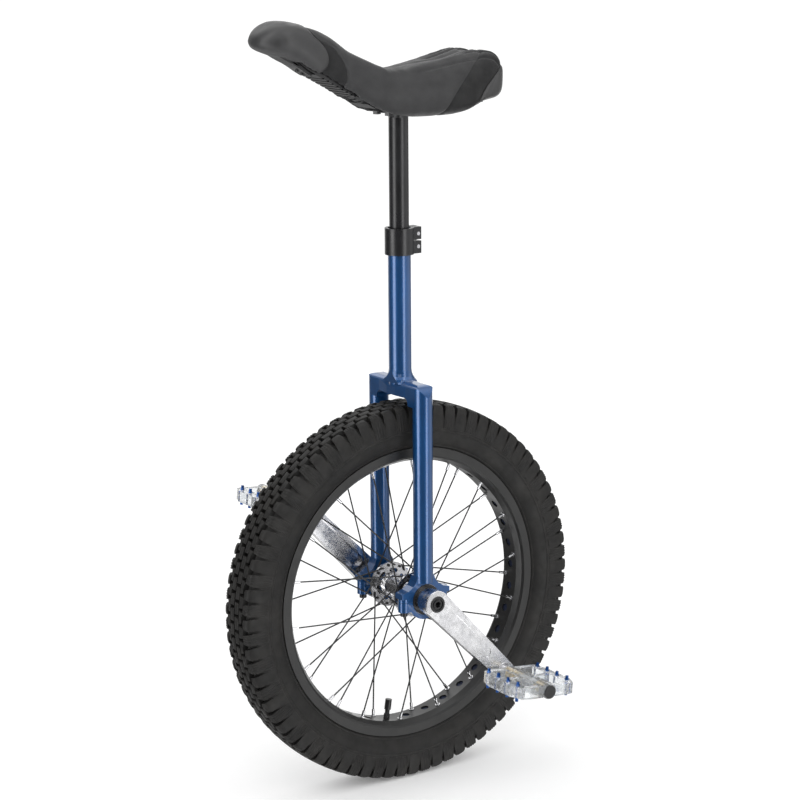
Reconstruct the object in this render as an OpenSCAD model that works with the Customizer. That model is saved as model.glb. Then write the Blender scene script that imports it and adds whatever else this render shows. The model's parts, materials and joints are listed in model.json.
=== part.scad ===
// Trials unicycle: wheel, blue fork frame, seatpost, saddle, cranks and clear platform pedals.
// Millimetres. Origin on the ground below the axle; +X rider's front, +Y rider's left, +Z up.

/* [Wheel] */
// outside radius of the tyre over its knobs
wheel_r = 259.8; // [258:0.2:262]
// half width of the tyre casing
tyre_half_w = 31; // [30:0.5:31.5]
// rows of tread knobs around the tyre
knob_rows = 80; // [60:4:84]
// outer radius of the rim flanges
rim_r = 199.5; // [199:0.25:200]
// half width of the rim
rim_half_w = 23.5; // [23:0.25:24]
// number of spokes
spoke_count = 36; // [36:4:36]
// spoke diameter
spoke_d = 2; // [1.8:0.1:2.2]
// angle of the valve from straight down, towards the front
valve_a = 8.4; // [0:0.2:9.8]

/* [Hub and bearings] */
// half distance between the spoke flanges
flange_y = 29; // [27:0.5:30]
// outside radius of the spoke flanges
flange_r = 31; // [30:0.5:32]
// half distance between the bearing centres
bearing_y = 50.5; // [50:0.5:51]
// spindle radius at the bearings
spindle_r = 11; // [10.8:0.1:11]

/* [Frame] */
// outside radius of the seat tube
seat_tube_r = 15.25; // [15.1:0.05:15.6]
// top of the seat tube
seat_tube_top = 750.5; // [740:0.5:751]
// outside radius of the fork legs
leg_r = 13.3; // [13:0.1:13.5]
// underside of the fork crown
crown_z = 531; // [529:0.5:533]
// outside radius of the bearing housings
housing_r = 27; // [26:0.5:28]

/* [Seatpost and saddle] */
// seatpost radius
post_r = 12.95; // [12.8:0.05:13]
// lower end of the seatpost, inside the seat tube
post_bottom = 596; // [590:1:640]
// height of the saddle's lower edge above the ground
saddle_z = 899; // [890:1:910]
// height of the dip in the saddle above its lower edge
saddle_dip = 59; // [58:0.5:61]
// rise from the dip to the top of the nose
nose_rise = 68; // [62:0.5:69]
// rise from the dip to the top of the tail
tail_rise = 27; // [22:0.5:28]

/* [Cranks and pedals] */
// crank length between the spindle and the pedal axle
crank_len = 150; // [137:1:152]
// angle of the cranks below level
crank_a = 47; // [35:1:60]
// how far each crank leans outwards at its pedal end
crank_flare = 13; // [10:1:14]
// tilt of the pedal platforms, front up
pedal_tilt = 5.3; // [0:0.1:10]

/* [Hidden] */
$fn = 48;
hz = wheel_r;                       // axle height
casing_r = wheel_r - 7.5;           // tyre casing radius under the knobs
spoke_hub_r = flange_r - 4;         // radius of the spoke holes in the flanges
nip_y = 9.5;                        // spoke holes in the rim, off the centre line
rim_in_r = 181;                     // inside face of the rim
cross_a = 1080 * 2 / spoke_count;   // three-cross lacing angle
hole_step = 360 / spoke_count;
crank_y = bearing_y + 35.5;         // outer face of the crank at the spindle
tip_y = crank_y + crank_flare;      // outer face of the crank at the pedal
pedal_in = tip_y + 5;               // inner edge of the pedal platform
pedal_out = pedal_in + 93;          // outer edge of the pedal platform
pedal_x = crank_len * cos(crank_a);
pedal_z = crank_len * sin(crank_a);
clamp_z = seat_tube_top - 33.5;     // lower face of the seat clamp
clamp_h = 35;
ball_n = 9;
ball_r = 3.175;
race_r = 16;
leg_y = bearing_y + 2;              // centre line of the fork legs
crown_x = seat_tube_r + 0.03;       // half thickness of the crown below the seat tube
x_dip = 18;                         // lowest point of the saddle top
x_nose = 176;                       // where the nose begins to close
x_tail = -118;                      // where the tail begins to close
x_tip = 216;
x_end = -153;
skin_t = 2.5;
base_t = 19;                        // depth of the recess that takes the saddle base
base_half = 22;
plate_z = saddle_z + 6;             // underside of the post's head plate

blue = [0.10, 0.24, 0.52];
black = [0.09, 0.09, 0.1];
silver = [0.8, 0.8, 0.82];
steel = [0.6, 0.6, 0.62];
grey = [0.26, 0.27, 0.28];
clear = [0.85, 0.9, 0.95, 0.6];

// ---------------------------------------------------------------- helpers

// straight round bar between two points
module bar(a, b, r) {
    d = b - a;
    translate(a)
        rotate([0, acos(d[2] / norm(d)), atan2(d[1], d[0])])
            cylinder(r = r, h = norm(d));
}

// round bar along Y, from y0 to y1, on the axle line
module axle(r, y0, y1) {
    translate([0, y0, hz]) rotate([-90, 0, 0]) cylinder(r = r, h = y1 - y0);
}

module ring_y(ro, ri, y0, y1) {
    difference() {
        axle(ro, y0, y1);
        axle(ri, y0 - 1, y1 + 1);
    }
}

// a child placed at angle a from straight down, radius r from the axle, its own Z along the radius inwards
module at_rim(a, r) {
    translate([0, 0, hz]) rotate([0, -a, 0]) translate([0, 0, -r]) children();
}

// a shape of revolution about the axle from a profile of [radius, y]
module spun(profile) {
    translate([0, 0, hz]) rotate([-90, 0, 0]) rotate_extrude($fn = 96) polygon(profile);
}

function rim_point(a, r, y) = [r * sin(a), y, hz - r * cos(a)];
function smooth(t) = let (c = min(1, max(0, t))) c * c * (3 - 2 * c);

// ---------------------------------------------------------------- frame

// half of a split bearing housing: the upper half is part of the frame, the lower half is the cap
module housing_half(s, lower) {
    difference() {
        union() {
            intersection() {
                axle_at(s, housing_r, 16);
                translate([-50, s * bearing_y - 10, lower ? hz - 50.4 : hz]) cube([100, 20, 50]);
            }
            for (x = [-30, 30]) bolt_ear(x, s, lower ? hz - 13.6 : hz, lower ? 13.2 : 13);
        }
        housing_holes(s, lower ? 3.2 : 3.02);
    }
}

module axle_at(s, r, h) {
    translate([0, s * bearing_y - h / 2, hz]) rotate([-90, 0, 0]) cylinder(r = r, h = h, $fn = 96);
}

module housing_holes(s, r) {
    axle_at(s, 21.02, 20);
    for (x = [-30, 30]) translate([x, s * bearing_y, hz - 20]) cylinder(r = r, h = 31, $fn = 32);
}

// bolt ear: a rounded lug joined to the housing ring
module bolt_ear(x, s, z, h) {
    translate([x, s * bearing_y, z]) cylinder(r = 8, h = h);
    translate([x > 0 ? 22 : -30, s * bearing_y - 8, z]) cube([8, 16, h]);
}

module leg(s) {
    translate([0, s * leg_y, hz + 24]) cylinder(r = leg_r, h = crown_z - 10 - hz - 24);
}

// flare from the fork leg out to the bolt ears
module leg_flare(s) {
    translate([0, s * bearing_y + 8, 0]) rotate([90, 0, 0]) linear_extrude(height = 16)
        polygon([[-38, hz + 5], [-38, hz + 12], [-28, hz + 15], [-20, hz + 20], [-15.2, hz + 26],
            [0.4 - leg_r, hz + 33], [leg_r - 0.4, hz + 33], [15.2, hz + 26], [20, hz + 20], [28, hz + 15],
            [38, hz + 12], [38, hz + 5]]);
}

// upright slab with rounded upper corners: half width w, corner radius r
module rounded_top(w, r) {
    top = crown_z + 19.6;
    translate([-w, crown_z - 20]) square([2 * w, 39.6 - r]);
    translate([r - w, crown_z - 20]) square([2 * (w - r), 39.6]);
    for (x = [r - w, w - r]) translate([x, top - r]) circle(r = r, $fn = 64);
}

module crown() {
    difference() {
        // bar between the legs, rounded over at the front, the back and both ends
        intersection() {
            union() {
                translate([0, 0, crown_z - 10]) linear_extrude(height = 34)
                    for (k = [-1, 1]) polygon([[0, -leg_y], [k * leg_r, -leg_y], [k * leg_r, -32],
                        [k * crown_x, -10], [k * crown_x, 10], [k * leg_r, 32], [k * leg_r, leg_y],
                        [0, leg_y]]);
                for (s = [-1, 1]) translate([0, s * leg_y, crown_z - 16]) cylinder(r = leg_r, h = 40);
            }
            translate([0, 80, 0]) rotate([90, 0, 0]) linear_extrude(height = 160) rounded_top(crown_x, 10.5);
            translate([-20, 0, 0]) rotate([90, 0, 90]) linear_extrude(height = 40)
                rounded_top(leg_y + leg_r, 17);
        }
        // arch over the tyre with rounded corners
        translate([-30, -29, crown_z - 40]) cube([60, 58, 40]);
        translate([-30, -37, crown_z - 40]) cube([60, 74, 32]);
        for (y = [-29, 29]) translate([-30, y, crown_z - 8]) rotate([0, 90, 0]) cylinder(r = 8, h = 60);
    }
    // small flared foot of the seat tube, flat at the front and the back
    intersection() {
        translate([0, 0, crown_z + 16]) rotate_extrude()
            polygon([[0, 0], [24, 0], [22.6, 2.4], [19.4, 5.2], [17.2, 8.4], [15.9, 12.5],
                [seat_tube_r + 0.03, 17], [0, 17]]);
        translate([-crown_x, -40, crown_z + 10]) cube([2 * crown_x, 80, 60]);
    }
}

module frame() {
    color(blue) difference() {
        union() {
            translate([0, 0, crown_z + 1]) cylinder(r = seat_tube_r, h = seat_tube_top - crown_z - 1);
            crown();
            for (s = [-1, 1]) {
                leg(s);
                difference() {
                    leg_flare(s);
                    housing_holes(s, 3.02);
                }
                housing_half(s, false);
            }
        }
        // bore for the seatpost
        translate([0, 0, crown_z + 20]) cylinder(r = post_r + 0.08, h = seat_tube_top - crown_z);
        // clamping slot at the back of the seat tube
        translate([-20, -1, seat_tube_top - 44]) cube([20, 2, 60]);
        translate([-20, 0, seat_tube_top - 44]) rotate([0, 90, 0]) cylinder(r = 2.5, h = 20);
        // hollow fork legs
        for (s = [-1, 1]) translate([0, s * leg_y, hz + 40]) cylinder(r = leg_r - 2, h = crown_z - hz - 36);
    }
}

module bearing_cap(s) {
    color(blue) housing_half(s, true);
}

module cap_bolts() {
    color(black) for (s = [-1, 1], x = [-30, 30]) translate([x, s * bearing_y, 0]) {
        difference() {
            translate([0, 0, hz - 19.6]) cylinder(r = 5, h = 6);
            translate([0, 0, hz - 20.6]) cylinder(r = 2.5, h = 4, $fn = 6);
        }
        translate([0, 0, hz - 13.7]) cylinder(r = 3, h = 23.7, $fn = 32);
    }
}

// ---------------------------------------------------------------- bearings

module groove(s, r) {
    translate([0, s * bearing_y, hz]) rotate([-90, 0, 0])
        rotate_extrude($fn = 96) translate([race_r, 0]) circle(r = r, $fn = 48);
}

module bearing_outer(s) {
    color(steel) difference() {
        ring_y(21, 17.8, s * bearing_y - 6, s * bearing_y + 6);
        groove(s, ball_r + 0.06);
    }
}

module bearing_inner(s) {
    color(steel) difference() {
        ring_y(14.2, spindle_r + 0.02, s * bearing_y - 6, s * bearing_y + 6);
        groove(s, ball_r + 0.06);
    }
}

module bearing_seals(s) {
    color(black) for (k = [-1, 1])
        ring_y(17.78, 14.3, s * bearing_y + k * 5.1 - 0.5, s * bearing_y + k * 5.1 + 0.5);
}

module balls(s) {
    color(silver) for (i = [0 : ball_n - 1]) translate([0, s * bearing_y, hz])
        rotate([0, i * 360 / ball_n, 0]) translate([race_r, 0, 0]) sphere(r = ball_r);
}

module cage(s) {
    color(steel) difference() {
        ring_y(17.2, 14.8, s * bearing_y - 4.2, s * bearing_y + 4.2);
        for (i = [0 : ball_n - 1]) translate([0, s * bearing_y, hz])
            rotate([0, i * 360 / ball_n, 0]) rotate([0, 90, 0]) cylinder(r = ball_r + 0.06, h = 20);
    }
}

// ---------------------------------------------------------------- seat clamp

module seat_clamp() {
    color(black) difference() {
        union() {
            translate([0, 0, clamp_z]) cylinder(r = 19.2, h = clamp_h);
            translate([-28.4, -9.5, clamp_z]) cube([18.4, 19, clamp_h]);
        }
        translate([0, 0, clamp_z - 1]) cylinder(r = seat_tube_r + 0.02, h = clamp_h + 2);
        // vertical split between the ears and the level slot between the two bolts
        translate([-31, -1.25, clamp_z - 1]) cube([31, 2.5, clamp_h + 2]);
        translate([-31, -12, clamp_z + clamp_h / 2 - 1]) cube([15.5, 24, 2]);
        for (z = [9, clamp_h - 9]) translate([-24.3, 0, clamp_z + z]) rotate([90, 0, 0]) {
            cylinder(r = 2.7, h = 10, $fn = 32);
            translate([0, 0, -10]) cylinder(r = 2.52, h = 11, $fn = 32);
        }
    }
}

module clamp_bolts() {
    color(steel) for (z = [9, clamp_h - 9]) translate([-24.3, 0, clamp_z + z]) rotate([90, 0, 0]) {
        translate([0, 0, -9.2]) cylinder(r = 2.5, h = 19, $fn = 32);
        difference() {
            translate([0, 0, 9.6]) cylinder(r = 4.2, h = 5);
            translate([0, 0, 11.6]) cylinder(r = 2, h = 4, $fn = 6);
        }
    }
}

// ---------------------------------------------------------------- seatpost and saddle

bolt_xy = [[-24, -14], [-24, 14], [24, -14], [24, 14]];

module seatpost() {
    color(black) difference() {
        union() {
            translate([0, 0, post_bottom]) cylinder(r = post_r, h = plate_z - post_bottom + 1);
            translate([0, 0, plate_z - 9]) cylinder(r1 = post_r, r2 = 19, h = 9.5);
            translate([-32, -21, plate_z]) cube([64, 42, 5]);
        }
        translate([0, 0, post_bottom - 1]) cylinder(r = post_r - 2, h = plate_z - post_bottom - 4);
        for (p = bolt_xy) translate([p[0], p[1], plate_z - 1]) cylinder(r = 3.3, h = 8, $fn = 32);
    }
}

// the saddle's outline: heights of its top and lower edge and its half width along X, taken in by o
function nose_end(x, o) = x > x_nose ? sqrt(max(0, 1 - pow((x - x_nose) / (x_tip - o - x_nose), 2))) : 1;
function tail_end(x, o, n) =
    x < x_tail ? pow(max(0, 1 - pow((x_tail - x) / (x_tail - x_end - o), n)), 1 / n) : 1;
// smooth curve through points given by rising x
function slope(p, i) = let (a = max(0, i - 1), b = min(len(p) - 1, i + 1))
    (p[b][1] - p[a][1]) / (p[b][0] - p[a][0]);
function piece(x, p, i = 0) = i > len(p) - 3 || x < p[i + 1][0] ? i : piece(x, p, i + 1);
function glide(x, p) = let (i = piece(x, p), w = p[i + 1][0] - p[i][0], t = (x - p[i][0]) / w, s = 1 - t)
    p[i][1] * (1 + 2 * t) * s * s + p[i + 1][1] * t * t * (3 - 2 * t)
    + w * t * s * (slope(p, i) * s - slope(p, i + 1) * t);
// top edge as a share of the rise: from the dip to the nose, and from the tail to the dip
nose_curve = [[x_dip, 0], [36, 0.06], [63, 0.232], [90, 0.415], [107, 0.61], [125, 0.778], [142, 0.861],
    [160, 0.938], [180, 1], [200, 0.97], [x_tip, 0.9]];
tail_curve = [[x_end, 0.68], [-138, 0.93], [-122, 1], [-97, 0.91], [-76, 0.7], [-38, 0.36], [-1, 0.08],
    [x_dip, 0]];
// lower edge above the saddle's lowest line
low_curve = [[x_end, 20], [-118, 12.5], [-97, 8], [-84, 2.5], [-66, 0], [-30, -1], [12, 0], [42, 5.5],
    [60, 13], [83, 25], [103, 38.5], [119, 51], [143, 63], [161, 76], [174, 83], [190, 88], [x_tip, 91]];
function top_line(x) = saddle_z + saddle_dip
    + (x > x_dip ? nose_rise * glide(x, nose_curve) : tail_rise * glide(x, tail_curve));
function low_line(x) = saddle_z + glide(x, low_curve);
function end_z(x) = x > 0 ? saddle_z + 104 : saddle_z + 46;
function shut(x, o) = x > 0 ? nose_end(x, o) : tail_end(x, o, 2.4);
function top_z(x, o) = end_z(x) + (top_line(x) - o - end_z(x)) * (x > x_nose || x < x_tail ? shut(x, o) : 1);
function low_z(x, o) = end_z(x) + (low_line(x) + o - end_z(x)) * (x > x_nose || x < x_tail ? shut(x, o) : 1);
function half_w(x, o) = (38 + 24 * smooth((90 - x) / 170) - o) * nose_end(x, o)
    * (x < -95 ? sqrt(max(0, 1 - pow((-95 - x) / (-95 - x_end - o), 2))) : 1);
function station(i, n, o) =
    (x_tip + x_end) / 2 - ((x_tip - x_end) / 2 - o) * cos(180 * (i + 0.35) / (n + 0.7));
function sgn_pow(v, p) = sign(v) * pow(abs(v), p);
// how square the lower half of a section is: boxy below the seat, rounded towards the nose
function low_bend(x) = 0.38 + 0.47 * smooth((x + 20) / 90);
// depth of the shallow channel between the two rear lobes
function channel(x, y) = 9 * smooth((-10 - x) / 60) * smooth(1 - abs(y) / 34);

// closed lofted body through n + 1 superelliptic sections of m points
module saddle_body(o) {
    n = 40;
    m = 28;
    pts = [for (i = [0 : n]) let (x = station(i, n, o), zt = top_z(x, o), zb = low_z(x, o), w = half_w(x, o))
        for (j = [0 : m - 1]) let (a = 360 * (j + 0.5) / m)
            let (y = w * sgn_pow(cos(a), 0.72), up = sin(a) > 0)
                [x, y, (zt + zb) / 2 + (zt - zb) / 2 * sgn_pow(sin(a), up ? 0.8 : low_bend(x))
                    - (up ? channel(x, y) : 0)]];
    faces = concat(
        [for (i = [0 : n - 1], j = [0 : m - 1]) let (k = (j + 1) % m)
            [i * m + j, (i + 1) * m + k, i * m + k]],
        [for (i = [0 : n - 1], j = [0 : m - 1]) let (k = (j + 1) % m)
            [i * m + j, (i + 1) * m + j, (i + 1) * m + k]],
        [[for (j = [0 : m - 1]) j]],
        [[for (j = [m - 1 : -1 : 0]) n * m + j]]);
    polyhedron(points = pts, faces = faces, convexity = 6);
}

// recess on the underside, filled by the saddle base
module recess(g) {
    translate([0, base_half + g, 0]) rotate([90, 0, 0]) linear_extrude(height = 2 * (base_half + g))
        polygon(concat(under(-118 - g, 160 + g, base_t + g),
            [[160 + g, saddle_z - 40], [-118 - g, saddle_z - 40]]));
}

module cover() {
    difference() {
        saddle_body(0);
        saddle_body(skin_t);
        recess(0.1);
    }
}

// seams of the cover seen from the side, each from the top down
nose_seam = [[153, 1034], [147, 1009], [138, 999], [130, 989], [125.5, 978], [125.5, 968], [130, 961],
    [144, 938]];
front_seam = [[149, 1034], [139, 1004.5], [124, 996], [114, 989], [106, 978], [100.5, 968], [98, 956],
    [100, 942], [112, 925]];
rear_seam = [[-160, 990], [-126, 976], [-104, 965], [-83, 953], [-66, 942], [-51, 929], [-43, 916.5],
    [-37, 903], [-34, 890]];
tail_seam = [[-170, 967], [-136, 957], [-117, 948], [-100, 935], [-90, 923], [-87, 913], [-86, 890]];
function moved(p, dx) = [for (q = p) [q[0] + dx, q[1]]];
function turned(p) = [for (i = [len(p) - 1 : -1 : 0]) p[i]];

// space across the saddle bounded by an outline seen from the side
module side_on(outline) {
    translate([0, 100, 0]) rotate([90, 0, 0]) linear_extrude(height = 200) polygon(outline);
}

module saddle_foam() {
    color([0.35, 0.35, 0.36]) difference() {
        saddle_body(skin_t + 0.05);
        recess(0.1);
    }
}

module nose_bumper() {
    color(grey) intersection() {
        cover();
        side_on(concat(moved(nose_seam, 0.15), [[300, 938], [300, 1034]]));
    }
}

module cover_front_band() {
    color(black) intersection() {
        cover();
        side_on(concat(nose_seam, turned(front_seam)));
    }
}

module cover_main() {
    color(grey) difference() {
        cover();
        side_on(concat(moved(front_seam, -0.15), [[300, 925], [300, 1034]]));
        side_on(concat(moved(rear_seam, 0.15), [[-300, 890], [-300, 990]]));
    }
}

module cover_rear_band() {
    color(black) intersection() {
        cover();
        side_on(concat(rear_seam, turned(tail_seam)));
    }
}

module tail_bumper() {
    color(grey) intersection() {
        cover();
        side_on(concat(moved(tail_seam, -0.15), [[-300, 890], [-300, 967]]));
    }
}

// points along the lower edge of the saddle, moved by d
function under(x0, x1, d) = [for (i = [0 : 14]) let (x = x0 + (x1 - x0) * i / 14) [x, low_line(x) + d]];
function base_low(x) = max(saddle_z + 11.1, saddle_z + 11.1 + 0.53 * (x - 48));

// long round bar along the belly's slope: r is its radius, its lowest line lies on the belly
module belly_bar(r) {
    translate([48, 0, saddle_z + 11.1]) rotate([0, 90 - 27.92, 0]) translate([-r, 0, -20])
        cylinder(r = r, h = 240, $fn = 128);
}

module saddle_base() {
    color(black) difference() {
        intersection() {
            translate([0, base_half, 0]) rotate([90, 0, 0]) linear_extrude(height = 2 * base_half)
                polygon(concat(under(-118, 160, base_t), under(160, 138.2, 0.3),
                    [[138, base_low(138)], [48, base_low(48)], [-118, base_low(-118)]]));
            // the belly's lower edges are rounded
            union() {
                translate([-130, -40, saddle_z]) cube([190, 80, 200]);
                belly_bar(26);
                translate([48, -40, saddle_z + 28]) cube([120, 80, 200]);
            }
        }
        // stiffening grooves across the underside
        for (x = [64 : 7 : 127]) translate([x, -base_half - 1, base_low(x) - 3])
            rotate([0, -27.92, 0]) cube([2.6, 2 * base_half + 2, 4.6]);
        for (p = bolt_xy) translate([p[0], p[1], saddle_z]) {
            cylinder(r = 3.2, h = 40, $fn = 32);
            translate([0, 0, 14.5]) cylinder(r = 6.5, h = 30);
        }
        for (x = screw_x) translate([x, 0, low_line(x) - 8]) cylinder(r = 2.5, h = 18, $fn = 24);
    }
}

module saddle_bolts() {
    color(steel) for (p = bolt_xy) translate([p[0], p[1], 0]) {
        translate([0, 0, saddle_z + 14.55]) cylinder(r = 6, h = 2.4);
        translate([0, 0, saddle_z + 0.6]) cylinder(r = 2.95, h = 14.5, $fn = 32);
    }
}

module saddle_nuts() {
    color(steel) for (p = bolt_xy) translate([p[0], p[1], plate_z - 5.05]) difference() {
        cylinder(r = 5.7, h = 5, $fn = 6);
        translate([0, 0, -1]) cylinder(r = 3, h = 7, $fn = 32);
    }
}

screw_x = [143.5, 151];
handle_low = [[138.4, 56], [145, 59.8], [150, 62.8], [156, 67], [165, 72.3], [172, 75.6], [180, 79.8],
    [186, 83.4], [190, 86.4]];

module grab_handle() {
    color(black) difference() {
        translate([0, 14, 0]) rotate([90, 0, 0]) linear_extrude(height = 28)
            polygon(concat([for (p = handle_low) [p[0], saddle_z + p[1]]], under(190, 138.4, -0.4)));
        // finger hollow scooped from both sides
        for (y = [7, -27]) translate([0, y + 20, 0]) rotate([90, 0, 0]) linear_extrude(height = 20)
            polygon([[155, low_line(155) - 1.2], [168, low_line(168) - 1.4], [182, low_line(182) - 1.6],
                [178, saddle_z + 80.8], [166, saddle_z + 74.8], [159, saddle_z + 70.8]]);
        for (x = screw_x) translate([x, 0, 0]) {
            cylinder(r = 2.6, h = 1100, $fn = 24);
            cylinder(r = 3.2, h = saddle_z + glide(x, handle_low) + 0.7, $fn = 32);
        }
    }
}

module handle_screws() {
    color(steel) for (x = screw_x) translate([x, 0, saddle_z + glide(x, handle_low) - 1.2]) {
        cylinder(r = 3, h = 1.8, $fn = 32);
        cylinder(r = 2.4, h = low_line(x) - saddle_z - glide(x, handle_low) + 8, $fn = 24);
    }
}

// ---------------------------------------------------------------- wheel

w0 = tyre_half_w;
tyre_out = [[rim_r - 7, 21.3], [rim_r + 0.6, 21.3], [rim_r + 1.2, 22.8], [rim_r + 5, 25], [rim_r + 12, 28.6],
    [rim_r + 21, w0 - 0.5], [rim_r + 30, w0], [rim_r + 38, w0 - 0.4], [casing_r - 7, w0 - 2],
    [casing_r - 3.6, w0 - 6], [casing_r - 1.2, w0 - 14], [casing_r, 0]];
tyre_in = [[casing_r - 4, 0], [casing_r - 5.2, w0 - 14], [casing_r - 8, w0 - 8.5], [rim_r + 37, w0 - 3.6],
    [rim_r + 29, w0 - 3], [rim_r + 20, w0 - 3.6], [rim_r + 12, 25], [rim_r + 4, 21], [rim_r - 1, 17.5],
    [rim_r - 7, 17.5]];
function both_sides(p) = concat(p, [for (i = [len(p) - 1 : -1 : 0]) [p[i][0], -p[i][1]]]);

module tyre_casing() {
    spun(concat(tyre_out, [for (i = [len(tyre_out) - 2 : -1 : 0]) [tyre_out[i][0], -tyre_out[i][1]]],
        [for (i = [len(tyre_in) - 1 : -1 : 1]) [tyre_in[i][0], -tyre_in[i][1]]], tyre_in));
}

// one row of knobs: a solid of revolution through a small angle
module knob(a0, span, profile) {
    translate([0, 0, hz]) rotate([-90, 0, 0]) rotate([0, 0, a0]) rotate_extrude(angle = span, $fn = 96)
        polygon(profile);
}

module tyre() {
    step = 360 / knob_rows;
    top = wheel_r;
    color(black) union() {
        tyre_casing();
        for (i = [0 : knob_rows - 1]) {
            // paired centre blocks, staggered left and right
            for (s = [-1, 1]) {
                knob((i + (s > 0 ? 0 : 0.5)) * step, step * 0.62,
                    [[casing_r - 3, s * 1.5], [top, s * 1.5], [top - 0.9, s * 14], [casing_r - 4, s * 14]]);
                // shoulder lugs that wrap over the edge of the casing
                knob((i + (s > 0 ? 0.45 : 0.05)) * step, step * 0.58,
                    [[casing_r - 3, s * (w0 - 15.5)], [top - 1.8, s * (w0 - 15.5)], [top - 6.4, s * (w0 - 3)],
                        [top - 15, s * (w0 - 0.2)], [top - 24, s * (w0 + 0.7)],
                        [rim_r + 27, s * (w0 + 0.7)], [rim_r + 26, s * (w0 - 1.5)],
                        [rim_r + 38, s * (w0 - 2)], [casing_r - 8, s * (w0 - 4.2)],
                        [casing_r - 5, s * (w0 - 8.5)]]);
            }
        }
    }
}

module inner_tube() {
    o = [[casing_r - 4.6, 0], [casing_r - 6.2, w0 - 15], [casing_r - 9, w0 - 10], [rim_r + 36, w0 - 4.6],
        [rim_r + 29, w0 - 4], [rim_r + 20, w0 - 4.6], [rim_r + 10, 22.5], [rim_r - 2, 15.6],
        [rim_in_r + 6, 13.5]];
    i = [for (p = o) [rim_r + 24 + (p[0] - rim_r - 24) * 0.955, p[1] * 0.95]];
    color([0.15, 0.15, 0.16]) difference() {
        spun(both_sides(o));
        spun(both_sides(i));
        at_rim(valve_a, rim_r + 20) cylinder(r = 2.6, h = 60);
    }
}

rim_section = [[rim_in_r, 0], [rim_in_r, 14], [rim_in_r + 4.6, 21], [rim_in_r + 7.5, rim_half_w],
    [rim_r, rim_half_w], [rim_r, 21.6], [rim_r - 8.6, 21.6], [rim_in_r + 6.6, 18.6], [rim_in_r + 2.4, 14.6],
    [rim_in_r + 2.2, 0]];

function spoke_a(i) = valve_a - hole_step / 2 - i * hole_step;     // rim hole angle; even holes go left
function spoke_side(i) = i % 2 == 0 ? 1 : -1;
function spoke_lead(i) = floor(i / 2) % 2 == 0 ? 1 : -1;
function hub_y(i) = spoke_side(i) * (flange_y + (spoke_lead(i) > 0 ? 3.9 : -2.8));
function hub_p(i) = rim_point(spoke_a(i) - spoke_lead(i) * cross_a, spoke_hub_r, hub_y(i));
function rim_p(i, r) = rim_point(spoke_a(i), r, spoke_side(i) * nip_y);
function unit(v) = v / norm(v);
function along(i, t) = let (e = rim_p(i, rim_in_r)) e + unit(e - hub_p(i)) * t;

module rim() {
    color(black) difference() {
        spun(concat(rim_section,
            [for (i = [len(rim_section) - 2 : -1 : 1]) [rim_section[i][0], -rim_section[i][1]]]));
        for (i = [0 : spoke_count - 1]) {
            bar(along(i, -6), along(i, 8), 2.15);
            // round lightening holes between the spoke holes; one of the gaps takes the valve
            if (i > 0) at_rim(valve_a - i * hole_step, rim_in_r + 6) cylinder(r = 5.5, h = 12, $fn = 32);
        }
        at_rim(valve_a, rim_in_r + 6) cylinder(r = 4.2, h = 12, $fn = 32);
    }
}

module rim_strip() {
    color([0.12, 0.2, 0.42]) difference() {
        ring_y(rim_in_r + 3.4, rim_in_r + 2.35, -5.9, 5.9);
        at_rim(valve_a, rim_in_r + 6) cylinder(r = 4.2, h = 12, $fn = 32);
    }
}

module eyelets() {
    color(silver) for (i = [0 : spoke_count - 1]) difference() {
        at_rim(spoke_a(i), rim_in_r - 0.08) translate([0, spoke_side(i) * nip_y, 0])
            cylinder(r = 3.4, h = 1, $fn = 24);
        bar(along(i, -8), along(i, 8), 2.15);
    }
}

module nipples() {
    color(silver) for (i = [0 : spoke_count - 1]) difference() {
        union() {
            bar(along(i, -10), along(i, 3.4), 1.95);
            bar(along(i, 3.3), along(i, 4.8), 2.6);
        }
        bar(along(i, -11), along(i, 2), spoke_d / 2 + 0.03);
    }
}

module spokes(s) {
    color([0.13, 0.13, 0.14]) for (i = [0 : spoke_count - 1]) if (spoke_side(i) == s) {
        h = hub_p(i);
        lead = spoke_lead(i);
        head = [h[0], s * (flange_y - lead * 2.9), h[2]];
        union() {
            bar(h, along(i, 1.8), spoke_d / 2);
            sphere_at(h, spoke_d / 2);
            bar(head, h, spoke_d / 2);
            bar(head, head + [0, s * lead * 0.9, 0], 1.9);
        }
    }
}

module sphere_at(p, r) {
    translate(p) sphere(r = r + 0.01, $fn = 24);
}

module valve_stem() {
    color(black) difference() {
        union() {
            at_rim(valve_a, rim_in_r + 5.9) cylinder(r = 4.1, h = 11.9, $fn = 32);
            at_rim(valve_a, rim_in_r - 5) cylinder(r = 3.2, h = 9, $fn = 32);
            at_rim(valve_a, rim_in_r - 13) cylinder(r = 3.85, h = 11, $fn = 48);
        }
        at_rim(valve_a, rim_in_r + 10) cylinder(r = 1.6, h = 50, $fn = 24);
    }
}

module valve_cap() {
    color(black) difference() {
        at_rim(valve_a, rim_in_r - 12.5) cylinder(r = 4.5, h = 14.2, $fn = 32);
        at_rim(valve_a, rim_in_r - 11.5) cylinder(r = 3.9, h = 13, $fn = 48);
    }
}

// ---------------------------------------------------------------- hub, spindle, cranks

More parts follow.
